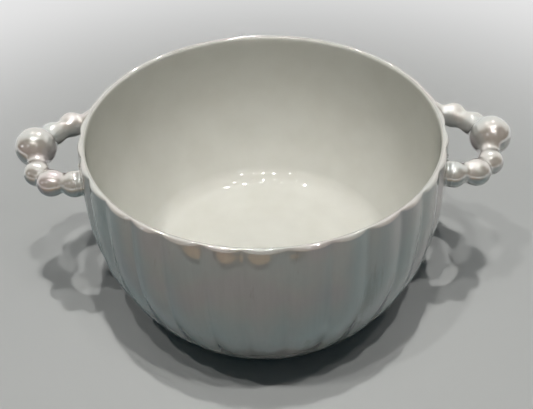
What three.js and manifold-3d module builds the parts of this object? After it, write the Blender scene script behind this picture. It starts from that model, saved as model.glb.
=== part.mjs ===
// A round serving bowl with a lobed wall and a handle of clay beads on either side.
// Millimetres, +Z up. The origin is the centre of the foot, on the table, and the handles lie along X.
import * as THREE from 'three';
import { mergeVertices } from 'three/addons/utils/BufferGeometryUtils.js';
import Module from 'manifold-3d';

// Wall of the bowl. Its radii are measured on the crown of a lobe.
const bowlHeight = 120; // table to the top of the lip
const lipRadius = 101.4; // outside of the lip
const lipThickness = 4;
const bellyRadius = 104; // the widest part of the wall
const bellyHeight = 80;
const bodyDrop = 111; // half height of the ellipse that the lower wall follows
const turnHeight = 15; // the wall leaves that ellipse here and turns under to the foot
const wallThickness = 4.2;

// Floor and foot
const floorThickness = 6;
const floorRadius = 50; // flat part of the floor inside
const floorTurn = 13; // rise of the curve from the floor into the wall
const footRadius = 62; // outside of the foot ring, near the table
const footWidth = 5; // flat of the ring, on the table
const footHeight = 4; // table to the underside outside the ring
const footRecess = 3; // table to the underside inside the ring
const footDraft = 1.5; // how much each side of the ring widens from the table up
const footBevel = 0.8; // bevel of the ring's outer edge

// Lobes of the outside: round ribs with a sharp groove between each two
const lobeCount = 32;
const lobeDepth = 1.6; // depth of a groove at the belly
const lobeLipDepth = 1.5; // depth of a groove at the lip
const lobeEndHeight = 12; // the grooves run out here, above a plain band
const lobeFullHeight = 38; // the grooves have their full depth from here up

// Handles: beads on a core, strung along a loop that stands out from the wall
const rootBead = 14.4; // diameters, from the wall to the tip of the loop
const shoulderBead = 14.8;
const elbowBead = 14;
const tipBead = 23;
const tipNeck = 2; // core that shows on either side of the tip bead
const handleCore = 11.4; // diameter of the clay core that the beads sit on
const handleSpan = 59.8; // between the middles of a handle's two root beads
const handleReach = 26.6; // from the wall out to the middle of the tip bead
const handleDrop = 25.9; // from the top of the lip down to the level underside of the beads
const loopSquareness = 2.4; // exponent of the loop's outline, where 2 is an ellipse
const rootLift = 1.1; // how much higher than the others a root bead sits
const rootStandOff = 3.4; // from the wall out to the middle of a root bead

// Slip joints: the clay between a root bead and the wall
const slipThickness = 0.8; // pad under the root bead
const slipSpread = 2; // how far the slip runs out over the wall past the bead
const slipRise = 2.6; // how far it climbs the bead
const slipEdge = 0.3; // thickness of its upper edge
const seatGap = 0.3; // clearance between pieces that sit on each other

// Facets
const facetsPerLobe = 4;
const lowerWallSteps = 6;
const upperWallSteps = 3;
const innerWallSteps = 5;
const turnSteps = 4;
const halfLipSteps = 2;
const beadSides = 14;
const beadRings = 9;
const tipBeadSides = 18;
const tipBeadRings = 12;
const coreHalfSides = 4;
const coreStepsPerBead = 2;
const slipSides = 16;
const filletSteps = 2;
const weld = 1e-4; // vertices nearer than this are one

const lipStart = bowlHeight - lipThickness / 2; // the rounding of the lip begins here
const floorHeight = footRecess + floorThickness;
const beadLevel = bowlHeight - handleDrop;

// The two faces of the wall: radius at the belly and at the lip, and drop of the ellipse
const outerFace = { belly: bellyRadius, drop: bodyDrop, lip: lipRadius };
const innerFace = {
  belly: bellyRadius - wallThickness,
  drop: bodyDrop - wallThickness,
  lip: lipRadius - lipThickness,
};

const wasm = await Module();
wasm.setup();

// Radius of a face at a height: part of an ellipse below the belly, and a slow curve in to the lip above it.
function wallRadius({ belly, drop, lip }, z) {
  const rise = z - bellyHeight;
  if (rise < 0) return belly * Math.sqrt(1 - (rise / drop) ** 2);
  return belly - (belly - lip) * (rise / (lipStart - bellyHeight)) ** 2;
}

// How fast that radius grows with height, below the belly.
function wallSlope({ belly, drop }, z) {
  const fall = bellyHeight - z;
  return (belly * fall) / (drop * Math.sqrt(drop ** 2 - fall ** 2));
}

// Depth of the grooves at a height on the outside.
function grooveDepth(z) {
  const runOut = THREE.MathUtils.smoothstep(z, lobeEndHeight, lobeFullHeight);
  const towardsLip = THREE.MathUtils.smoothstep(z, bellyHeight, lipStart);
  return runOut * THREE.MathUtils.lerp(lobeDepth, lobeLipDepth, towardsLip);
}

// One point of the bowl's section: radius, height, and the depth that the grooves have there.
const sectionPoint = (r, z, groove = 0) => ({ r, z, groove });

const evenSteps = (from, to, count) =>
  Array.from({ length: count + 1 }, (_, i) => THREE.MathUtils.lerp(from, to, i / count));

// The curve from a level surface, at a radius and height, up into a face of the wall at wallStart.
function turnIntoWall(face, radius, height, wallStart) {
  const wall = new THREE.Vector2(wallRadius(face, wallStart), wallStart);
  const corner = new THREE.Vector2(wall.x - wallSlope(face, wallStart) * (wallStart - height), height);
  const curve = new THREE.QuadraticBezierCurve(new THREE.Vector2(radius, height), corner, wall);
  return curve.getPoints(turnSteps).map((p) => sectionPoint(p.x, p.y));
}

// A point on the round lip: angle 0 is its outside, where the grooves end, and half a turn its inside.
function lipPoint(angle) {
  const round = lipThickness / 2;
  const groove = lobeLipDepth * Math.max(0, Math.cos(angle));
  const radius = lipRadius - round + round * Math.cos(angle);
  return sectionPoint(radius, lipStart + round * Math.sin(angle), groove);
}

// Underside, from the middle out to the inner edge of the foot ring.
function undersideSection() {
  const ringInside = footRadius - footBevel - footWidth;
  return [
    sectionPoint(0, footRecess),
    sectionPoint(ringInside - footDraft, footRecess),
    sectionPoint(ringInside, 0),
  ];
}

// Outside, from the foot ring's outer edge up to the top of the lip.
function outsideSection() {
  const lowerWall = evenSteps(turnHeight, bellyHeight, lowerWallSteps).slice(1);
  const upperWall = evenSteps(bellyHeight, lipStart, upperWallSteps).slice(1, -1);
  return [
    sectionPoint(footRadius - footBevel, 0),
    sectionPoint(footRadius, footBevel),
    ...turnIntoWall(outerFace, footRadius + footDraft, footHeight, turnHeight),
    ...[...lowerWall, ...upperWall].map((z) => sectionPoint(wallRadius(outerFace, z), z, grooveDepth(z))),
    ...evenSteps(0, Math.PI / 2, halfLipSteps).map(lipPoint),
  ];
}

// Inside, from the lip down to the middle of the floor. It is smooth.
function insideSection() {
  const wallStart = floorHeight + floorTurn;
  const wall = evenSteps(lipStart, wallStart, innerWallSteps).slice(1, -1);
  return [
    ...evenSteps(Math.PI / 2, Math.PI, halfLipSteps).slice(1).map(lipPoint),
    ...wall.map((z) => sectionPoint(wallRadius(innerFace, z), z)),
    ...turnIntoWall(innerFace, floorRadius, floorHeight, wallStart).reverse(),
    sectionPoint(0, floorHeight),
  ];
}

// Turns a section about Z, grown by an offset, and presses the grooves into it. The first edge is a groove.
function turnSection(section, offset = 0) {
  const halfLobe = Math.PI / lobeCount;
  const points = section.map((p) => new THREE.Vector2(p.r > 0 ? p.r + offset : 0, p.z));
  const geometry = new THREE.LatheGeometry(points, lobeCount * facetsPerLobe, halfLobe);
  const position = geometry.attributes.position;
  for (let i = 0; i < position.count; i++) {
    const { groove } = section[i % section.length];
    if (groove === 0) continue;
    const [x, z] = [position.getX(i), position.getZ(i)];
    const lobe = Math.atan2(x, z) / (2 * halfLobe);
    const fromCrown = 2 * Math.abs(lobe - Math.round(lobe));
    const scale = 1 - (groove * fromCrown ** 2) / Math.hypot(x, z);
    position.setX(i, x * scale);
    position.setZ(i, z * scale);
  }
  return geometry.rotateX(Math.PI / 2);
}

// A closed mesh as a solid that can be joined and cut.
function solidOf(geometry) {
  const bare = geometry.clone();
  bare.deleteAttribute('normal');
  bare.deleteAttribute('uv');
  const merged = mergeVertices(bare, weld);
  const triangles = [];
  for (let i = 0; i < merged.index.count; i += 3) {
    const [a, b, c] = [merged.index.getX(i), merged.index.getX(i + 1), merged.index.getX(i + 2)];
    if (a !== b && b !== c && c !== a) triangles.push(a, b, c);
  }
  const vertProperties = merged.attributes.position.array;
  const triVerts = new Uint32Array(triangles);
  return new wasm.Manifold(new wasm.Mesh({ numProp: 3, vertProperties, triVerts }));
}

function geometryOf(solid) {
  const { vertProperties, triVerts } = solid.getMesh();
  const geometry = new THREE.BufferGeometry();
  geometry.setAttribute('position', new THREE.BufferAttribute(vertProperties, 3));
  geometry.setIndex(new THREE.BufferAttribute(triVerts, 1));
  geometry.computeVertexNormals();
  return geometry;
}

// The bowl's outside as a full solid, grown by an offset. It cuts what sits on the wall to fit the lobes.
function wallPlug(offset) {
  const outside = outsideSection();
  const closed = [sectionPoint(0, outside[0].z), ...outside, sectionPoint(0, outside.at(-1).z)];
  return solidOf(turnSection(closed, offset));
}

// Plan of the handle on +X: half of a rounded square, from its front root round to its rear root.
class HandleLoop extends THREE.Curve {
  constructor() {
    super();
    const rootRadius = wallRadius(outerFace, beadLevel + rootLift + rootBead / 2) + rootStandOff;
    this.halfSpan = handleSpan / 2;
    this.rootX = Math.sqrt(rootRadius ** 2 - this.halfSpan ** 2);
    this.tipX = wallRadius(outerFace, beadLevel + tipBead / 2) + handleReach;
  }

  getPoint(t, target = new THREE.Vector3()) {
    const angle = Math.PI * (t - 0.5);
    const power = 2 / loopSquareness;
    const out = Math.max(0, Math.cos(angle)) ** power;
    const across = Math.abs(Math.sin(angle)) ** power * Math.sign(angle);
    return target.set(THREE.MathUtils.lerp(this.rootX, this.tipX, out), this.halfSpan * across, 0);
  }
}

// Beads of that handle in order. Neighbours lie as far apart as their sizes ask, with level undersides.
function strungBeads() {
  const small = { sides: beadSides, rings: beadRings };
  const root = { ...small, radius: rootBead / 2, lift: rootLift, neck: 0 };
  const shoulder = { ...small, radius: shoulderBead / 2, lift: 0, neck: 0 };
  const elbow = { ...small, radius: elbowBead / 2, lift: 0, neck: 0 };
  const tip = { sides: tipBeadSides, rings: tipBeadRings, radius: tipBead / 2, lift: 0, neck: tipNeck };
  const order = [root, shoulder, elbow, tip, elbow, shoulder, root];
  const along = [0];
  order.slice(1).forEach((bead, i) => {
    along.push(along[i] + order[i].radius + order[i].neck + bead.neck + bead.radius);
  });
  const loop = new HandleLoop();
  return order.map((bead, i) => {
    const middle = loop.getPointAt(along[i] / along.at(-1));
    middle.z = beadLevel + bead.lift + bead.radius;
    return { ...bead, middle };
  });
}

function beadSolid({ middle, radius, sides, rings }, growth = 0) {
  const ball = new THREE.SphereGeometry(radius + growth, sides, rings).rotateX(Math.PI / 2);
  return solidOf(ball.translate(middle.x, middle.y, middle.z));
}

function coreSolid(beads) {
  const section = new THREE.Shape().absarc(0, 0, handleCore / 2, 0, 2 * Math.PI);
  const extrudePath = new THREE.CatmullRomCurve3(beads.map((bead) => bead.middle));
  const steps = coreStepsPerBead * (beads.length - 1);
  const options = { extrudePath, steps, curveSegments: coreHalfSides, bevelEnabled: false };
  return solidOf(new THREE.ExtrudeGeometry(section, options));
}

// Beads and core in one, with the root beads cut back to leave room for the slip on the wall.
function handleSolid(beads) {
  const strung = beads.reduce((solid, bead) => solid.add(beadSolid(bead)), coreSolid(beads));
  return strung.subtract(wallPlug(seatGap + slipThickness + seatGap));
}

// The slip under one root bead: a pad on the wall, with a hollow fillet that climbs the bead.
function slipSolid(bead) {
  const padTop = seatGap + slipThickness;
  const edgeRadius = bead.radius + seatGap + slipEdge;
  const spreadRadius = bead.radius + slipSpread;
  const buried = -rootStandOff - lobeDepth; // lower than the grooves, before the wall is cut out of it
  const fillet = new THREE.QuadraticBezierCurve(
    new THREE.Vector2(spreadRadius, padTop),
    new THREE.Vector2(edgeRadius, padTop),
    new THREE.Vector2(edgeRadius, slipRise),
  );
  const profile = [
    new THREE.Vector2(0, buried),
    new THREE.Vector2(spreadRadius, buried),
    ...fillet.getPoints(filletSteps),
    new THREE.Vector2(0, slipRise),
  ];
  const outwards = new THREE.Vector3(bead.middle.x, bead.middle.y, 0).normalize();
  const wallPoint = bead.middle.clone().addScaledVector(outwards, -rootStandOff);
  const flare = new THREE.LatheGeometry(profile, slipSides);
  flare.applyQuaternion(new THREE.Quaternion().setFromUnitVectors(new THREE.Vector3(0, 1, 0), outwards));
  flare.translate(wallPoint.x, wallPoint.y, wallPoint.z);
  const seat = beadSolid(bead, seatGap).subtract(wallPlug(padTop));
  return solidOf(flare).subtract(wallPlug(seatGap)).subtract(seat);
}

// Glazes, as seen in plain light
const bowlGlaze = { color: 0xe9e5da, roughness: 0.12 };
const handleGlaze = { color: 0xe4e0d8, roughness: 0.15 };
const slipGlaze = { color: 0xe0dcd2, roughness: 0.2 };

function namedMesh(name, geometry, { color, roughness }) {
  const material = new THREE.MeshStandardMaterial({ color, roughness, metalness: 0 });
  const mesh = new THREE.Mesh(geometry, material);
  mesh.name = name;
  return mesh;
}

const handledBowl = new THREE.Group();
handledBowl.name = 'handled_bowl';
const bowlSection = [...undersideSection(), ...outsideSection(), ...insideSection()];
handledBowl.add(namedMesh('bowl_body', turnSection(bowlSection), bowlGlaze));

// Both handles are the same piece. The left one makes half a turn about Z, so its first root is at the rear.
const beads = strungBeads();
const handleGeometry = geometryOf(handleSolid(beads));
const slipGeometries = [beads[0], beads.at(-1)].map((bead) => geometryOf(slipSolid(bead)));
const places = [
  { side: 'right', turn: 0, roots: ['front', 'rear'] },
  { side: 'left', turn: Math.PI, roots: ['rear', 'front'] },
];
for (const { side, turn, roots } of places) {
  const carrier = new THREE.Group();
  carrier.rotation.z = turn;
  carrier.add(namedMesh(`${side}_handle`, handleGeometry, handleGlaze));
  roots.forEach((root, i) => {
    carrier.add(namedMesh(`${side}_${root}_slip_joint`, slipGeometries[i], slipGlaze));
  });
  handledBowl.add(carrier);
}

export default handledBowl;
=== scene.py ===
import math

import bmesh
import bpy
import numpy as np
from mathutils import Matrix, Vector


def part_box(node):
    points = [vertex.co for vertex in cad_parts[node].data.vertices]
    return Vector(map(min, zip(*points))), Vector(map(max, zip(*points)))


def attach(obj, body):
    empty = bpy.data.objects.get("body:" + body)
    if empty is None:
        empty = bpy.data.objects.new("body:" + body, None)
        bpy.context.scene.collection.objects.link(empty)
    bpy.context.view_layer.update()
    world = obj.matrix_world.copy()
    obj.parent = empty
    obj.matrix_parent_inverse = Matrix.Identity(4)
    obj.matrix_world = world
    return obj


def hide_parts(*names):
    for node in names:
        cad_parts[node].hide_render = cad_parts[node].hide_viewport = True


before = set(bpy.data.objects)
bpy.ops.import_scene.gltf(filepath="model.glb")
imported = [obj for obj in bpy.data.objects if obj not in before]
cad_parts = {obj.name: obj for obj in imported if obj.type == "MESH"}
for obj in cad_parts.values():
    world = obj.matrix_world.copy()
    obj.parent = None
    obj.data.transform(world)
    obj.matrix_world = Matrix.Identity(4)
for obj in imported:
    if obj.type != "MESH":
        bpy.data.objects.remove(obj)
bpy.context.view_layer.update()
mm = 0.001
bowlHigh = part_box("bowl_body")[1]
print("frame loaded:", len(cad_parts), "nodes")

# small helpers


def smoothStep(x, start, end):
    t = np.clip((x - start) / (end - start), 0, 1)
    return t * t * (3 - 2 * t)


def curvePoints(start, corner, end, steps):
    # quadratic curve that leaves start towards the corner and reaches end from it
    t = np.linspace(0, 1, steps + 1)[:, None]
    a, b, c = np.array(start), np.array(corner), np.array(end)
    return (1 - t) ** 2 * a + 2 * t * (1 - t) * b + t ** 2 * c


def linePoints(start, end, steps):
    return np.linspace(start, end, steps + 1)


def roundCorner(before, corner, after, size, steps=5):
    before, corner, after = Vector(before), Vector(corner), Vector(after)
    start = corner + (before - corner).normalized() * size
    end = corner + (after - corner).normalized() * size
    return curvePoints(start, corner, end, steps)


def spinSection(section, steps, weld=0.002 * mm):
    # turns a section of (radius, height) points into a closed skin about Z
    bm = bmesh.new()
    row = [bm.verts.new((r, 0, z)) for r, z in section]
    for a, b in zip(row, row[1:]):
        bm.edges.new((a, b))
    bmesh.ops.spin(bm, geom=bm.verts[:] + bm.edges[:], cent=(0, 0, 0), axis=(0, 0, 1),
                   angle=2 * math.pi, steps=steps, use_merge=True)
    bmesh.ops.remove_doubles(bm, verts=bm.verts[:], dist=weld)
    bmesh.ops.recalc_face_normals(bm, faces=bm.faces[:])
    return bm


def newPiece(name, bm):
    mesh = bpy.data.meshes.new(name)
    bm.to_mesh(mesh)
    bm.free()
    piece = bpy.data.objects.new(name, mesh)
    bpy.context.scene.collection.objects.link(piece)
    return piece


def getPoints(mesh):
    flat = np.empty(len(mesh.vertices) * 3)
    mesh.vertices.foreach_get("co", flat)
    return flat.reshape(-1, 3)


def setPoints(mesh, points):
    mesh.vertices.foreach_set("co", points.ravel())
    mesh.update()


def shadeSmooth(mesh):
    mesh.polygons.foreach_set("use_smooth", [True] * len(mesh.polygons))
    mesh.update()


def settle(points, field, rounds=6, probe=0.01 * mm, flattest=0.05):
    # walks the points onto the surface where the field is nought
    for _ in range(rounds):
        height = field(points)
        slope = np.empty_like(points)
        for axis in range(3):
            step = np.zeros(3)
            step[axis] = probe
            slope[:, axis] = (field(points + step) - field(points - step)) / (2 * probe)
        steep = np.maximum((slope ** 2).sum(axis=1), flattest)
        points = points - slope * (height / steep)[:, None]
    return points


def softUnion(distances, softness):
    # joins several distance fields with a fillet instead of a crease
    stack = np.stack(distances)
    nearest = stack.min(axis=0)
    return nearest - softness * np.log(np.exp((nearest - stack) / softness).sum(axis=0))


# camera, at the photograph's angle

cameraSet = {
    "place": (0.5 * mm, -297.8 * mm, 324.7 * mm),
    "down": math.radians(41.93),
    "roll": math.radians(-1.39),
    "yaw": math.radians(0.1),
    "lens": 43.59,
    "sensor": 36,
    "clipStart": 0.01,
}


def makeCamera(c):
    data = bpy.data.cameras.new("camera")
    data.lens = c["lens"]
    data.sensor_width = c["sensor"]
    data.clip_start = c["clipStart"]
    camera = bpy.data.objects.new("camera", data)
    level = math.cos(c["down"])
    ahead = Vector((math.sin(c["yaw"]) * level, math.cos(c["yaw"]) * level, -math.sin(c["down"])))
    right = Vector((math.cos(c["yaw"]), -math.sin(c["yaw"]), 0))
    tilt = Matrix.Rotation(-c["roll"], 3, ahead)
    right = tilt @ right
    up = right.cross(ahead)
    turn = Matrix((right, up, -ahead)).transposed()
    camera.matrix_world = Matrix.Translation(c["place"]) @ turn.to_4x4()
    bpy.context.scene.collection.objects.link(camera)
    bpy.context.scene.camera = camera


makeCamera(cameraSet)
print("camera set")

# bowl: lobed outside, smooth inside, foot ring below

bowl = {
    "height": bowlHigh.z,
    "lipRadius": 101.4 * mm,
    "lipThickness": 4 * mm,
    "bellyRadius": bowlHigh.x,
    "bellyHeight": 80 * mm,
    "bodyDrop": 111 * mm,  # half height of the ellipse of the lower wall
    "turnHeight": 15 * mm,
    "wall": 4.2 * mm,
    "floorHeight": 9 * mm,
    "floorRadius": 50 * mm,
    "floorTurn": 13 * mm,
    "footRadius": 62 * mm,
    "footWidth": 5 * mm,
    "footHeight": 4 * mm,
    "footRecess": 3 * mm,
    "footDraft": 1.5 * mm,
    "footBevel": 0.8 * mm,
    "recessFillet": 1.2 * mm,
    "neckFillet": 1.5 * mm,
    "lobes": 32,
    "lobeDepth": 1.6 * mm,
    "lobeLipDepth": 1.5 * mm,
    "lobeEnd": 12 * mm,
    "lobeFull": 38 * mm,
    "grooveSoftness": 0.05,  # how much glaze rounds the bottom of a groove
    "lobeDrift": 0.04,  # how far a lobe strays from its even place, in lobes
    "strayWaves": ((5, 1.3), (13, 0.4)),  # waves round the bowl, and where they start
    "depthDrift": 0.12,
    "depthWave": (7, 2.1),
    "wallDrift": 0.1 * mm,
    "driftWaves": ((3, 4, 0), (8, -7, 1), (17, 9, 2)),  # the middle number winds them up the wall
    "driftRise": (0.1, 0.3),
    "ripple": 0.05 * mm,  # finger rings inside
    "floorRipple": 0.16 * mm,  # and round the edge of the floor
    "ripplePitch": 16 * mm,
    "rippleReach": 26 * mm,  # how far from the floor's edge they stay deep
    "swayWaves": ((0.5, 2, 0), (0.35, 7, 0.7)),  # they wander up and down by these
    "swell": 0.15,  # and get deeper and shallower
    "swellWaves": 3,
    "swellLength": 9 * mm,
    "lipCalm": 12 * mm,  # they die out over this much below the lip
    "middleCalm": (5 * mm, 30 * mm),  # and between these radii on the floor
    "stepsPerLobe": 14,
    "undersideSteps": 8,
    "turnSteps": 12,
    "wallSteps": 50,
    "lipSteps": 14,
    "insideSteps": 30,
    "insideTurnSteps": 36,
    "floorSteps": 40,
    "creamLip": 0.2,  # how far over the lip the cream of the inside comes
    "bareHeight": 0.5 * mm,  # the ring stands unglazed up to here
}
bowl["lipStart"] = bowl["height"] - bowl["lipThickness"] / 2
bowl["lipMiddle"] = bowl["lipRadius"] - bowl["lipThickness"] / 2
outerFace = {"belly": bowl["bellyRadius"], "drop": bowl["bodyDrop"], "lip": bowl["lipRadius"]}
innerFace = {
    "belly": bowl["bellyRadius"] - bowl["wall"],
    "drop": bowl["bodyDrop"] - bowl["wall"],
    "lip": bowl["lipRadius"] - bowl["lipThickness"],
}


def wallRadius(face, z):
    rise = np.asarray(z) - bowl["bellyHeight"]
    below = face["belly"] * np.sqrt(np.maximum(0, 1 - (np.minimum(rise, 0) / face["drop"]) ** 2))
    share = np.maximum(rise, 0) / (bowl["lipStart"] - bowl["bellyHeight"])
    return below - (face["belly"] - face["lip"]) * share ** 2


def wallSlope(face, z):
    fall = bowl["bellyHeight"] - z
    return face["belly"] * fall / (face["drop"] * math.sqrt(face["drop"] ** 2 - fall ** 2))


def turnIntoWall(face, radius, height, wallStart, steps):
    wall = (float(wallRadius(face, wallStart)), wallStart)
    corner = (wall[0] - wallSlope(face, wallStart) * (wallStart - height), height)
    return curvePoints((radius, height), corner, wall, steps)


def wallPoints(face, start, end, steps):
    z = np.linspace(start, end, steps + 1)
    return np.column_stack([wallRadius(face, z), z])


def lipPoints(steps):
    angle = np.linspace(0, math.pi, steps + 1)
    half = bowl["lipThickness"] / 2
    radius = bowl["lipMiddle"] + half * np.cos(angle)
    return np.column_stack([radius, bowl["lipStart"] + half * np.sin(angle)])


def footPoints(b):
    # underside and ring, from the middle out to where the wall begins to turn up
    ringInside = b["footRadius"] - b["footBevel"] - b["footWidth"]
    middle = (0, b["footRecess"])
    recess = (ringInside - b["footDraft"], b["footRecess"])
    inner = (ringInside, 0)
    outer = (b["footRadius"], 0)
    neck = (b["footRadius"] + b["footDraft"], b["footHeight"])
    wall = (neck[0] + b["footHeight"], b["footHeight"])
    return np.vstack([
        linePoints(middle, (recess[0] - b["footRecess"], b["footRecess"]), b["undersideSteps"]),
        roundCorner(middle, recess, inner, b["recessFillet"]),
        roundCorner(recess, inner, outer, b["footBevel"]),
        roundCorner(inner, outer, neck, b["footBevel"]),
        roundCorner(outer, neck, wall, b["neckFillet"]),
    ])


def insideSection(b):
    # from the lip down to the middle of the floor
    radius, height = b["floorRadius"], b["floorHeight"]
    turnEnd = height + b["floorTurn"]
    return np.vstack([
        wallPoints(innerFace, b["lipStart"], turnEnd, b["insideSteps"])[:-1],
        turnIntoWall(innerFace, radius, height, turnEnd, b["insideTurnSteps"])[::-1],
        linePoints((radius, height), (0, height), b["floorSteps"])[1:],
    ])


def bowlSection(b):
    neckEnd = b["footRadius"] + b["footDraft"] + b["neckFillet"]
    return np.vstack([
        footPoints(b),
        turnIntoWall(outerFace, neckEnd, b["footHeight"], b["turnHeight"], b["turnSteps"])[1:],
        wallPoints(outerFace, b["turnHeight"], b["lipStart"], b["wallSteps"])[1:-1],
        lipPoints(b["lipSteps"]),
        insideSection(b)[1:],
    ])


def grooveDepth(z):
    runOut = smoothStep(z, bowl["lobeEnd"], bowl["lobeFull"])
    towardsLip = smoothStep(z, bowl["bellyHeight"], bowl["lipStart"])
    return runOut * (bowl["lobeDepth"] + (bowl["lobeLipDepth"] - bowl["lobeDepth"]) * towardsLip)


def lobeRelief(angle):
    # nought on the crown of a lobe and about -1 in the groove
    lobe = angle * bowl["lobes"] / (2 * math.pi)
    fromCrown = 2 * np.abs(lobe - np.round(lobe))
    soft = bowl["grooveSoftness"]
    relief = soft * np.log(np.exp(-fromCrown ** 2 / soft) + np.exp(-(2 - fromCrown) ** 2 / soft))
    waves, shift = bowl["depthWave"]
    return relief * (1 + bowl["depthDrift"] * np.sin(waves * angle + shift))


def lobeStray(angle):
    # turns the lobes a little out of their even places, as on a hand finished mould
    stray = bowl["lobeDrift"] * 2 * math.pi / bowl["lobes"]
    return stray * sum(np.sin(waves * angle + shift) for waves, shift in bowl["strayWaves"])


def wallDrift(angle, z):
    # slow waves in the wall, all inwards, too low to see except in its reflections
    up = z / bowl["height"]
    count = len(bowl["driftWaves"])
    drift = sum(np.sin(waves * angle + wind * up + shift) for waves, wind, shift in bowl["driftWaves"])
    return bowl["wallDrift"] / count * (drift - count) * smoothStep(up, *bowl["driftRise"])


def lobedRadius(angle, z):
    even = angle - lobeStray(angle)
    return wallRadius(outerFace, z) + grooveDepth(z) * lobeRelief(even) + wallDrift(even, z)


def wayDown(section):
    # how far round from the floor's middle a point of the inside lies, seen from high on the axis
    r, z = section.T
    return np.arctan2(r, bowl["bellyHeight"] - z)


def innerRipple(angle, along, turn):
    # along runs from the floor's middle up to the lip, and turn is where the floor turns up
    sway = sum(size * np.sin(waves * angle + shift) for size, waves, shift in bowl["swayWaves"])
    swell = np.sin(bowl["swellWaves"] * angle + along / bowl["swellLength"])
    swell = 1 - bowl["swell"] + bowl["swell"] * swell
    nearTurn = np.exp(-((along - turn) / bowl["rippleReach"]) ** 2)
    depth = bowl["ripple"] + (bowl["floorRipple"] - bowl["ripple"]) * nearTurn
    return depth * swell * np.cos(2 * math.pi * along / bowl["ripplePitch"] + sway)


def rippleInside(mesh):
    # finger rings, pressed in square to the surface
    section = insideSection(bowl)[::-1]
    length = np.concatenate([[0], np.cumsum(np.linalg.norm(np.diff(section, axis=0), axis=1))])
    turn = bowl["floorRadius"] + bowl["floorTurn"]
    points = getPoints(mesh)
    normals = np.empty(len(mesh.vertices) * 3)
    mesh.vertices.foreach_get("normal", normals)
    normals = normals.reshape(-1, 3)
    x, y, z = points.T
    radius = np.hypot(x, y)
    inside = (z > bowl["floorHeight"] - mm) & (radius < wallRadius(outerFace, z) - bowl["wall"] / 2)
    down = wayDown(np.column_stack([radius, z]))
    along = np.interp(down, wayDown(section), length)
    calm = smoothStep(bowl["lipStart"] - z, 0, bowl["lipCalm"]) * smoothStep(radius, *bowl["middleCalm"])
    press = innerRipple(np.arctan2(y, x), along, turn) * inside * calm
    setPoints(mesh, points + normals * press[:, None])


def shapeWall(points):
    # presses the lobes into the outside
    x, y, z = points.T
    angle = np.arctan2(y, x)
    radius = np.hypot(x, y)
    middle = wallRadius(outerFace, z) - bowl["wall"] / 2
    onLip = z > bowl["lipStart"]
    outside = np.where(onLip, (radius - bowl["lipMiddle"]) / (bowl["lipThickness"] / 2), radius > middle)
    outside = np.clip(outside, 0, 1)
    radius = radius + outside * (grooveDepth(z) * lobeRelief(angle) + wallDrift(angle, z))
    angle = angle + outside * lobeStray(angle)
    return np.column_stack([radius * np.cos(angle), radius * np.sin(angle), z])


def markFinishes(mesh):
    # material 0 is the lustre outside, 1 the cream inside, 2 the bare ring
    centre = np.empty(len(mesh.polygons) * 3)
    mesh.polygons.foreach_get("center", centre)
    x, y, z = centre.reshape(-1, 3).T
    radius = np.hypot(x, y)
    lipEdge = innerFace["lip"] + bowl["creamLip"] * bowl["lipThickness"]
    wallMiddle = wallRadius(outerFace, z) - bowl["wall"] / 2
    innerEdge = np.where(z > bowl["lipStart"], lipEdge, wallMiddle)
    inside = (z > bowl["floorHeight"] - mm) & (radius < innerEdge)
    bare = z < bowl["bareHeight"]
    finish = np.where(bare, 2, np.where(inside, 1, 0)).astype(np.int32)
    mesh.polygons.foreach_set("material_index", finish)


def makeBowl(materials):
    bm = spinSection(bowlSection(bowl), bowl["lobes"] * bowl["stepsPerLobe"])
    piece = newPiece("lobed_bowl", bm)
    for material in materials:
        piece.data.materials.append(material)
    markFinishes(piece.data)
    setPoints(piece.data, shapeWall(getPoints(piece.data)))
    rippleInside(piece.data)
    shadeSmooth(piece.data)
    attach(piece, "root")
    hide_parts("bowl_body")


# handles: beads with soft necks, one after the other round a loop

handle = {
    "rootBead": 14.4 * mm,
    "shoulderBead": 14.8 * mm,
    "elbowBead": 14 * mm,
    "tipBead": 23 * mm,
    "tipNeck": 2 * mm,
    "neck": 10.8 * mm,
    "neckInset": 0.8 * mm,  # the necks are fuller on the inside of the loop
    "neckSoftness": 0.8 * mm,
    "span": 59.8 * mm,
    "reach": 26.6 * mm,
    "drop": 25.9 * mm,
    "squareness": 2.4,
    "rootLift": 1.1 * mm,
    "rootStandOff": 3.4 * mm,
    "rootDepth": 2.2 * mm,  # how far a root goes into the wall
    "pathSteps": 1200,
    "voxel": 0.55 * mm,
    "ballSides": 32,
    "ballRings": 20,
    "rodSides": 24,
    "skinRounds": 3,  # the skin is smoothed and settled this often
    "smoothRounds": 4,
    "smoothing": 0.5,
    "settleRounds": 3,
}


def beadRow(h):
    # middles and radii of the right handle's seven beads, from the front root to the rear one
    level = bowl["height"] - h["drop"]
    radii = np.array([h["rootBead"], h["shoulderBead"], h["elbowBead"], h["tipBead"]]) / 2
    radii = np.concatenate([radii, radii[-2::-1]])
    lift = np.array([h["rootLift"], 0, 0, 0, 0, 0, h["rootLift"]])
    necks = np.array([0, 0, h["tipNeck"], h["tipNeck"], 0, 0])
    halfSpan = h["span"] / 2
    rootRadius = wallRadius(outerFace, level + lift[0] + radii[0]) + h["rootStandOff"]
    rootX = math.sqrt(rootRadius ** 2 - halfSpan ** 2)
    tipX = wallRadius(outerFace, level + radii[3]) + h["reach"]
    turn = np.linspace(-math.pi / 2, math.pi / 2, h["pathSteps"] + 1)
    power = 2 / h["squareness"]
    pathX = rootX + (tipX - rootX) * np.maximum(np.cos(turn), 0) ** power
    pathY = halfSpan * np.abs(np.sin(turn)) ** power * np.sign(turn)
    length = np.concatenate([[0], np.cumsum(np.hypot(np.diff(pathX), np.diff(pathY)))])
    along = np.concatenate([[0], np.cumsum(radii[:-1] + necks + radii[1:])])
    at = along * length[-1] / along[-1]
    x, y = np.interp(at, length, pathX), np.interp(at, length, pathY)
    return np.column_stack([x, y, level + lift + radii]), radii


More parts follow.
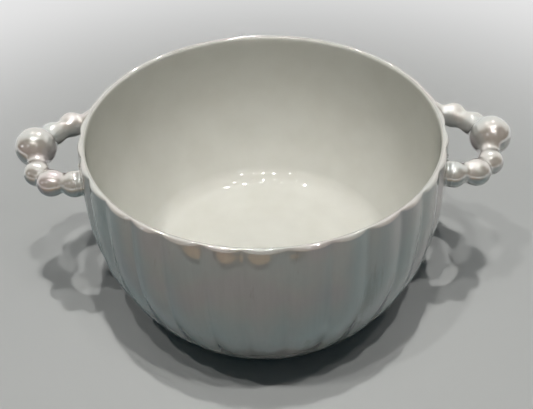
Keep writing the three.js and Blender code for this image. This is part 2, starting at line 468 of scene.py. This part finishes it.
def neckRods(middles):
    loopMiddle = middles[[0, -1]].mean(axis=0)
    inward = loopMiddle - middles
    inward = inward / np.linalg.norm(inward, axis=1)[:, None] * handle["neckInset"]
    ends = middles + inward
    return list(zip(ends, ends[1:]))


def beadField(points, middles, radii):
    # distance to the beads and to the necks between them, joined softly
    distances = [np.linalg.norm(points - m, axis=1) - r for m, r in zip(middles, radii)]
    for a, b in neckRods(middles):
        t = np.clip((points - a) @ (b - a) / ((b - a) @ (b - a)), 0, 1)
        distances.append(np.linalg.norm(points - a - t[:, None] * (b - a), axis=1) - handle["neck"] / 2)
    return softUnion(distances, handle["neckSoftness"])


def roughHandle(middles, radii):
    # balls and rods that the skin is then drawn over
    bm = bmesh.new()
    sides, rings = handle["ballSides"], handle["ballRings"]
    for m, r in zip(middles, radii):
        place = Matrix.Translation(m)
        bmesh.ops.create_uvsphere(bm, u_segments=sides, v_segments=rings, radius=r, matrix=place)
    for a, b in neckRods(middles):
        rod = Vector(b - a)
        place = Matrix.Translation((a + b) / 2) @ rod.to_track_quat("Z", "Y").to_matrix().to_4x4()
        bmesh.ops.create_cone(bm, cap_ends=True, segments=handle["rodSides"], radius1=handle["neck"] / 2,
                              radius2=handle["neck"] / 2, depth=rod.length, matrix=place)
    return bm


def remeshed(piece, voxel):
    remesh = piece.modifiers.new("skin", "REMESH")
    remesh.mode = "VOXEL"
    remesh.voxel_size = voxel
    graph = bpy.context.evaluated_depsgraph_get()
    mesh = bpy.data.meshes.new_from_object(piece.evaluated_get(graph))
    piece.modifiers.clear()
    old = piece.data
    piece.data = mesh
    bpy.data.meshes.remove(old)


def trimRoots(bm, middles):
    # cuts both ends off inside the wall and closes the cuts
    for root in (middles[0], middles[-1]):
        out = Vector((root[0], root[1], 0)).normalized()
        cut = Vector(root) - out * (handle["rootStandOff"] + handle["rootDepth"])
        near = {v for v in bm.verts if v.co.y * root[1] > 0}
        geometry = list(near) + [g for g in bm.edges[:] + bm.faces[:] if near.issuperset(g.verts)]
        trimmed = bmesh.ops.bisect_plane(bm, geom=geometry, plane_co=cut, plane_no=out, clear_inner=True)
        rim = [e for e in trimmed["geom_cut"] if isinstance(e, bmesh.types.BMEdge)]
        bmesh.ops.holes_fill(bm, edges=rim, sides=0)


def makeHandle(side, turn, material):
    middles, radii = beadRow(handle)
    piece = newPiece(side + "_bead_handle", roughHandle(middles, radii))
    remeshed(piece, handle["voxel"])
    bm = bmesh.new()
    bm.from_mesh(piece.data)
    for _ in range(handle["skinRounds"]):
        for _ in range(handle["smoothRounds"]):
            bmesh.ops.smooth_vert(bm, verts=bm.verts[:], factor=handle["smoothing"],
                                  use_axis_x=True, use_axis_y=True, use_axis_z=True)
        bm.to_mesh(piece.data)
        points = getPoints(piece.data)
        points = settle(points, lambda p: beadField(p, middles, radii), handle["settleRounds"])
        setPoints(piece.data, points)
        bm.clear()
        bm.from_mesh(piece.data)
    trimRoots(bm, middles)
    bmesh.ops.rotate(bm, verts=bm.verts[:], cent=(0, 0, 0), matrix=Matrix.Rotation(turn, 3, "Z"))
    bmesh.ops.recalc_face_normals(bm, faces=bm.faces[:])
    bm.to_mesh(piece.data)
    bm.free()
    piece.data.materials.clear()
    piece.data.materials.append(material)
    shadeSmooth(piece.data)
    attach(piece, "root")
    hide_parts(side + "_handle")


# slip joints: the clay fillet between a root bead and the wall

slip = {
    "spread": 3.2 * mm,  # over the wall, past the bead
    "climb": 3 * mm,  # up the bead
    "softness": 0.75 * mm,
    "proud": 0.02 * mm,
    "tuck": 0.5 * mm,
    "depth": 1.9 * mm,
    "skinCorner": 0.2 * mm,
    "sides": 72,
    "skinSteps": 14,
}


def slipField(points, middles, radii):
    x, y, z = points.T
    wall = np.hypot(x, y) - lobedRadius(np.arctan2(y, x), z)
    return softUnion([wall, beadField(points, middles, radii)], slip["softness"]) - slip["proud"]


def slipSection(radius):
    # radius and height above the wall, from inside the wall out over the skin and into the bead
    spread = radius + slip["spread"]
    corner = (radius + slip["skinCorner"], slip["skinCorner"])
    skin = curvePoints((spread, 0), corner, (radius, slip["climb"]), slip["skinSteps"])
    inWall = [(0, -slip["depth"]), (spread - slip["tuck"], -slip["depth"]), (spread, -2 * slip["tuck"])]
    inBead = [(radius - 2 * slip["tuck"], slip["climb"]), (0, slip["climb"])]
    return np.vstack([inWall, skin, inBead])


def makeSlip(side, place, root, turn, material):
    middles, radii = beadRow(handle)
    middle, radius = middles[root], radii[root]
    out = Vector((middle[0], middle[1], 0)).normalized()
    foot = Vector(middle) - out * handle["rootStandOff"]
    bm = spinSection(slipSection(radius), slip["sides"])
    bm.verts.index_update()
    skin = []
    for v in bm.verts:
        fromAxis = math.hypot(v.co.x, v.co.y)
        if v.co.z > -0.5 * slip["tuck"] and fromAxis > radius - slip["tuck"]:
            skin.append(v.index)
    stand = Matrix.Translation(foot) @ out.to_track_quat("Z", "Y").to_matrix().to_4x4()
    bmesh.ops.transform(bm, matrix=stand, verts=bm.verts[:])
    piece = newPiece(side + "_" + place + "_slip", bm)
    points = getPoints(piece.data)
    points[skin] = settle(points[skin], lambda p: slipField(p, middles, radii))
    setPoints(piece.data, points)
    piece.data.transform(Matrix.Rotation(turn, 4, "Z"))
    piece.data.materials.append(material)
    shadeSmooth(piece.data)
    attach(piece, "root")
    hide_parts(side + "_" + place + "_slip_joint")


# glazes


def newMaterial(name):
    material = bpy.data.materials.new(name)
    material.use_nodes = True
    nodes = material.node_tree.nodes
    return material, nodes, material.node_tree.links, nodes["Principled BSDF"]


def addNoise(nodes, links, scale, detail=2.0, roughness=0.5, stretch=None):
    coordinates = nodes.new("ShaderNodeTexCoord").outputs["Object"]
    if stretch:
        squash = nodes.new("ShaderNodeMapping")
        squash.inputs["Scale"].default_value = (1, 1, stretch)  # long marks up and down
        links.new(coordinates, squash.inputs["Vector"])
        coordinates = squash.outputs["Vector"]
    noise = nodes.new("ShaderNodeTexNoise")
    noise.inputs["Scale"].default_value = scale
    noise.inputs["Detail"].default_value = detail
    noise.inputs["Roughness"].default_value = roughness
    links.new(coordinates, noise.inputs["Vector"])
    return noise.outputs["Fac"]


def addRamp(nodes, links, factor, stops):
    ramp = nodes.new("ShaderNodeValToRGB")
    points = ramp.color_ramp.elements
    while len(points) < len(stops):
        points.new(0.5)
    for point, (place, colour) in zip(points, stops):
        point.position = place
        point.color = (*colour, 1)
    links.new(factor, ramp.inputs["Fac"])
    return ramp.outputs["Color"]


def addShade(nodes, links, colour, factor, stops):
    shade = nodes.new("ShaderNodeMixRGB")
    shade.blend_type = "MULTIPLY"
    shade.inputs["Fac"].default_value = 1
    links.new(colour, shade.inputs["Color1"])
    links.new(addRamp(nodes, links, factor, stops), shade.inputs["Color2"])
    return shade.outputs["Color"]


def addRange(nodes, links, factor, start, end, low=0, high=1, kind="LINEAR"):
    spread = nodes.new("ShaderNodeMapRange")
    spread.interpolation_type = kind
    spread.inputs["From Min"].default_value = start
    spread.inputs["From Max"].default_value = end
    spread.inputs["To Min"].default_value = low
    spread.inputs["To Max"].default_value = high
    links.new(factor, spread.inputs["Value"])
    return spread.outputs["Result"]


def addMath(nodes, links, operation, *values, clamp=False):
    # a number is set on its socket, and anything else is linked to it
    node = nodes.new("ShaderNodeMath")
    node.operation = operation
    node.use_clamp = clamp
    for socket, value in zip(node.inputs, values):
        if isinstance(value, (int, float)):
            socket.default_value = value
        else:
            links.new(value, socket)
    return node.outputs["Value"]


def addBump(nodes, links, shader, height, strength, distance, under=None):
    bump = nodes.new("ShaderNodeBump")
    bump.inputs["Strength"].default_value = strength
    bump.inputs["Distance"].default_value = distance
    links.new(height, bump.inputs["Height"])
    if under:
        links.new(under, bump.inputs["Normal"])
    links.new(bump.outputs["Normal"], shader.inputs["Normal"])
    return bump.outputs["Normal"]


noiseSpan = (0.3, 0.7)  # noise seldom leaves this range
white = (1, 1, 1)

pearl = {
    "cream": (0.645, 0.625, 0.59),
    "rose": (0.655, 0.61, 0.59),
    "mint": (0.622, 0.63, 0.6),
    "tint": 38,  # patches of the three tints, per metre
    "metallic": 0.4,
    "ior": 1.55,
    "haze": 130,  # duller and brighter patches
    "roughLow": 0.02,
    "roughHigh": 0.055,
    "peel": 420,  # pits and swells of the glaze
    "peelHeight": 0.03 * mm,
    "peelStrength": 0.25,
    "streak": 420,  # brush marks of the lustre
    "streakStretch": 0.07,
    "streakShade": (0.97, 0.97, 0.97),
    "streakHeight": 0.004 * mm,
    "streakStrength": 0.5,
    "stain": 130,  # darker runs here and there
    "stainStretch": 0.14,
    "stainShade": (0.86, 0.85, 0.83),
    "coat": 0.3,  # a clear gloss over the lustre
}
beadPearl = {
    **pearl,
    "cream": (0.66, 0.64, 0.605),
    "rose": (0.68, 0.61, 0.61),
    "mint": (0.615, 0.65, 0.635),
    "metallic": 0.6,
    "roughLow": 0.04,
    "roughHigh": 0.09,
    "coat": 0.6,
}


def pearlGlaze(name, p, brushed=False):
    material, nodes, links, shader = newMaterial(name)
    tint = addNoise(nodes, links, p["tint"], 3)
    colour = addRamp(nodes, links, tint, [(0.36, p["mint"]), (0.5, p["cream"]), (0.64, p["rose"])])
    haze = addNoise(nodes, links, p["haze"], 4)
    rough = addRange(nodes, links, haze, *noiseSpan, p["roughLow"], p["roughHigh"])
    links.new(rough, shader.inputs["Roughness"])
    shader.inputs["Metallic"].default_value = p["metallic"]
    shader.inputs["IOR"].default_value = p["ior"]
    shader.inputs["Coat Weight"].default_value = p["coat"]
    peel = addNoise(nodes, links, p["peel"], 2)
    normal = addBump(nodes, links, shader, peel, p["peelStrength"], p["peelHeight"])
    if brushed:
        streak = addNoise(nodes, links, p["streak"], 3, 0.6, p["streakStretch"])
        stain = addNoise(nodes, links, p["stain"], 4, 0.65, p["stainStretch"])
        colour = addShade(nodes, links, colour, streak, [(0.34, p["streakShade"]), (0.58, white)])
        colour = addShade(nodes, links, colour, stain, [(0.3, p["stainShade"]), (0.4, white)])
        addBump(nodes, links, shader, streak, p["streakStrength"], p["streakHeight"], normal)
    links.new(colour, shader.inputs["Base Color"])
    return material


cream = {
    "pale": (0.715, 0.706, 0.655),
    "deep": (0.685, 0.674, 0.62),
    "cloud": 45,  # patches of the two tints, per metre
    "ior": 1.6,
    "haze": 150,
    "roughLow": 0.045,
    "roughHigh": 0.07,
    "peel": 260,
    "peelHeight": 0.04 * mm,
    "peelStrength": 0.2,
}


def creamGlaze(name, c):
    material, nodes, links, shader = newMaterial(name)
    cloud = addNoise(nodes, links, c["cloud"], 4)
    colour = addRamp(nodes, links, cloud, [(0.35, c["deep"]), (0.65, c["pale"])])
    links.new(colour, shader.inputs["Base Color"])
    haze = addNoise(nodes, links, c["haze"], 3)
    rough = addRange(nodes, links, haze, *noiseSpan, c["roughLow"], c["roughHigh"])
    links.new(rough, shader.inputs["Roughness"])
    shader.inputs["IOR"].default_value = c["ior"]
    peel = addNoise(nodes, links, c["peel"], 2)
    addBump(nodes, links, shader, peel, c["peelStrength"], c["peelHeight"])
    return material


clay = {
    "pale": (0.74, 0.68, 0.59),
    "dark": (0.58, 0.50, 0.41),
    "rough": 0.85,
    "grain": 1800,
    "grainHeight": 0.06 * mm,
    "grainStrength": 0.6,
}


def bareClay(name, c):
    material, nodes, links, shader = newMaterial(name)
    grain = addNoise(nodes, links, c["grain"], 5)
    colour = addRamp(nodes, links, grain, [(0.35, c["dark"]), (0.55, c["pale"])])
    links.new(colour, shader.inputs["Base Color"])
    shader.inputs["Roughness"].default_value = c["rough"]
    addBump(nodes, links, shader, grain, c["grainStrength"], c["grainHeight"])
    return material


wallGlaze = pearlGlaze("wall_pearl_glaze", pearl, True)
beadGlaze = pearlGlaze("bead_pearl_glaze", beadPearl)
slipGlaze = pearlGlaze("slip_pearl_glaze", beadPearl)
makeBowl([wallGlaze, creamGlaze("cream_glaze", cream), bareClay("bare_clay", clay)])
print("bowl turned")

# the right handle first, and the left one half a turn on
for side, turn, places in (("right", 0, ("front", "rear")), ("left", math.pi, ("rear", "front"))):
    makeHandle(side, turn, beadGlaze)
    for root, place in zip((0, -1), places):
        makeSlip(side, place, root, turn, slipGlaze)
    print(side, "handle joined")

# floor, lamps and surroundings

stage = {
    "floorSize": 6,
    "floorColour": (0.49, 0.495, 0.49),
    "floorRough": 0.8,
    "floorGloss": 0.2,
    "floorFade": (0.18, 0.55),  # from here to here it pales into the background
    "behind": (1, 0.98, 0.94),
    "overhead": (0.72, 0.69, 0.64),
    "dimSide": (0.2, 0.145, 0.1),
    "fill": (0.008, 0.020, 0.026),  # what falls on the scene as light
    "lean": 0.3,  # how much brighter it gets towards the ceiling
    "unevenness": 0.5,
    "cloud": 2.2,
    "spread": 0.5,
    "pale": 0.8,  # what the camera sees past the floor
    "cardStart": 0.08,
    "cardEnd": -0.596,
    "cardStretch": 2,  # as many times wider than deep
    "cardHeight": 0.6 * mm,
    "cardRough": 0.9,
    # painted shade for the card: a cool shadow by the bowl, grey shade beyond it and a black shadow line
    "cardCoolShade": (0.14, 0.2, 0.22),
    "cardGreyShade": (0.175, 0.177, 0.17),
    "cardShadowLine": (0.03, 0.025, 0.02),
    "cardTan": (0.36, 0.22, 0.1),
    "cardSlant": 0.25,
}


def makeFloor(s):
    bm = bmesh.new()
    bmesh.ops.create_grid(bm, x_segments=1, y_segments=1, size=s["floorSize"] / 2)
    floor = newPiece("floor", bm)
    material, nodes, links, shader = newMaterial("pale_floor")
    shader.inputs["Base Color"].default_value = (*s["floorColour"], 1)
    shader.inputs["Roughness"].default_value = s["floorRough"]
    shader.inputs["Specular IOR Level"].default_value = s["floorGloss"]
    away = nodes.new("ShaderNodeVectorMath")
    away.operation = "LENGTH"
    links.new(nodes.new("ShaderNodeTexCoord").outputs["Object"], away.inputs[0])
    fade = addRange(nodes, links, away.outputs["Value"], *s["floorFade"], kind="SMOOTHSTEP")
    path = nodes.new("ShaderNodeLightPath").outputs
    seen = addMath(nodes, links, "ADD", path["Is Camera Ray"], path["Is Glossy Ray"], clamp=True)
    share = addMath(nodes, links, "MULTIPLY", fade, seen)
    plain = nodes.new("ShaderNodeEmission")
    plain.inputs["Color"].default_value = (s["pale"], s["pale"], s["pale"], 1)
    blend = nodes.new("ShaderNodeMixShader")
    links.new(share, blend.inputs["Fac"])
    links.new(shader.outputs["BSDF"], blend.inputs[1])
    links.new(plain.outputs["Emission"], blend.inputs[2])
    links.new(blend.outputs["Shader"], nodes["Material Output"].inputs["Surface"])
    floor.data.materials.append(material)


def makeShadeCard(s):
    # a sheet of painted shade on the camera's side, seen in the glaze alone: a cool painted shadow by
    # the bowl, grey painted shade, a black painted shadow line, then a tan band beyond it
    bm = bmesh.new()
    half = (s["cardStart"] - s["cardEnd"]) / 2
    bmesh.ops.create_grid(bm, x_segments=1, y_segments=1, size=half)
    bmesh.ops.scale(bm, verts=bm.verts[:], vec=(s["cardStretch"], 1, 1))
    bmesh.ops.translate(bm, verts=bm.verts[:], vec=(0, s["cardStart"] - half, s["cardHeight"]))
    card = newPiece("front_shade_card", bm)
    material, nodes, links, shader = newMaterial("front_shade_card")
    split = nodes.new("ShaderNodeSeparateXYZ")
    links.new(nodes.new("ShaderNodeTexCoord").outputs["Object"], split.inputs["Vector"])
    slant = addMath(nodes, links, "MULTIPLY_ADD", split.outputs["X"], s["cardSlant"], split.outputs["Y"])
    outwards = addRange(nodes, links, slant, s["cardStart"], s["cardEnd"])
    # the cool, grey and black bands are painted shade, and the tan band is the colour of a surface
    # beyond them
    colour = addRamp(nodes, links, outwards, [
        (0, s["floorColour"]), (0.27, s["cardCoolShade"]),
        (0.38, s["cardGreyShade"]), (0.5, s["cardGreyShade"]),
        (0.503, s["cardShadowLine"]), (0.523, s["cardShadowLine"]),
        (0.526, s["cardTan"]), (0.7, s["cardTan"]),
        (1, s["floorColour"]),
    ])
    links.new(colour, shader.inputs["Base Color"])
    shader.inputs["Roughness"].default_value = s["cardRough"]
    card.data.materials.append(material)
    card.visible_camera = False
    card.visible_diffuse = False
    card.visible_shadow = False


def makeWorld(s):
    # bright overhead and behind, dim and warm on the camera's side and low at both sides
    world = bpy.data.worlds.new("studio")
    bpy.context.scene.world = world
    world.use_nodes = True
    nodes, links = world.node_tree.nodes, world.node_tree.links
    split = nodes.new("ShaderNodeSeparateXYZ")
    links.new(nodes.new("ShaderNodeTexCoord").outputs["Generated"], split.inputs["Vector"])
    lean = addMath(nodes, links, "MULTIPLY_ADD", split.outputs["Z"], s["lean"], split.outputs["Y"])
    cloud = nodes.new("ShaderNodeTexNoise")
    cloud.inputs["Scale"].default_value = s["cloud"]
    # an uneven edge between the bright side and the dim one
    sway = addMath(nodes, links, "MULTIPLY_ADD", cloud.outputs["Fac"], s["unevenness"], lean)
    middle = s["lean"] + s["unevenness"] / 2
    across = addRange(nodes, links, sway, middle - s["spread"], middle + s["spread"])
    colour = addRamp(nodes, links, across, [
        (0.33, s["dimSide"]), (0.48, s["overhead"]), (0.56, s["overhead"]), (0.76, s["behind"])])
    # straight in the glaze, and not by way of a dull surface
    path = nodes.new("ShaderNodeLightPath").outputs
    seen = addMath(nodes, links, "SUBTRACT", path["Is Glossy Ray"], path["Diffuse Depth"], clamp=True)
    light = nodes.new("ShaderNodeMixRGB")
    light.inputs["Color1"].default_value = (*s["fill"], 1)
    links.new(seen, light.inputs["Fac"])
    links.new(colour, light.inputs["Color2"])
    links.new(light.outputs["Color"], nodes["Background"].inputs["Color"])
    plain = nodes.new("ShaderNodeBackground")
    plain.inputs["Color"].default_value = (s["pale"], s["pale"], s["pale"], 1)
    choose = nodes.new("ShaderNodeMixShader")
    links.new(path["Is Camera Ray"], choose.inputs["Fac"])
    links.new(nodes["Background"].outputs["Background"], choose.inputs[1])
    links.new(plain.outputs["Background"], choose.inputs[2])
    links.new(choose.outputs["Shader"], nodes["World Output"].inputs["Surface"])


def addLamp(name, place, power, radius, colour, glint=False):
    # a glint shows in the glaze alone, and the other lamps light the scene
    data = bpy.data.lights.new(name, "POINT")
    data.energy = power
    data.color = colour
    data.shadow_soft_size = radius
    lamp = bpy.data.objects.new(name, data)
    lamp.location = place
    lamp.visible_glossy = glint
    lamp.visible_diffuse = not glint
    bpy.context.scene.collection.objects.link(lamp)


# small ceiling lamps with their places and their watts, and the glints
lamps = {
    "height": 1.5,
    "radius": 0.018,
    "colour": (1, 0.992, 0.965),
    "ceiling": [
        (0.40, -0.31, 5.5), (0.20, -0.31, 18), (-0.17, -0.31, 13), (-0.46, -0.31, 12),
        (0.25, -0.05, 1.5), (0.02, -0.05, 28), (-0.25, -0.05, 2),
    ],
    "glintRadius": 0.014,
    "glintPower": 3,
    "glintRows": (-0.8, -0.31, -0.05, 0.9),
    "glintColumns": (0.40, 0.20, 0.02, -0.17, -0.46),
    "sideColour": (0.85, 0.94, 1),
    "sideGlints": [  # place, watts, radius
        ((-1.05, -0.4, 0.52), 1, 0.07),
        ((-0.6, -0.78, 0.94), 0.8, 0.05),
        ((0.36, -0.85, 1.0), 0.8, 0.05),
    ],
}

makeFloor(stage)
makeShadeCard(stage)
makeWorld(stage)
for number, (x, y, power) in enumerate(lamps["ceiling"]):
    addLamp(f"ceiling_lamp_{number}", (x, y, lamps["height"]), power, lamps["radius"], lamps["colour"])
for row, y in enumerate(lamps["glintRows"]):
    for column, x in enumerate(lamps["glintColumns"]):
        place = (x, y, lamps["height"])
        addLamp(f"glint_{row}_{column}", place, lamps["glintPower"], lamps["glintRadius"],
                lamps["colour"], True)
for number, (place, power, radius) in enumerate(lamps["sideGlints"]):
    addLamp(f"side_glint_{number}", place, power, radius, lamps["sideColour"], True)

bpy.context.scene.view_settings.view_transform = "Standard"
print("stage lit")
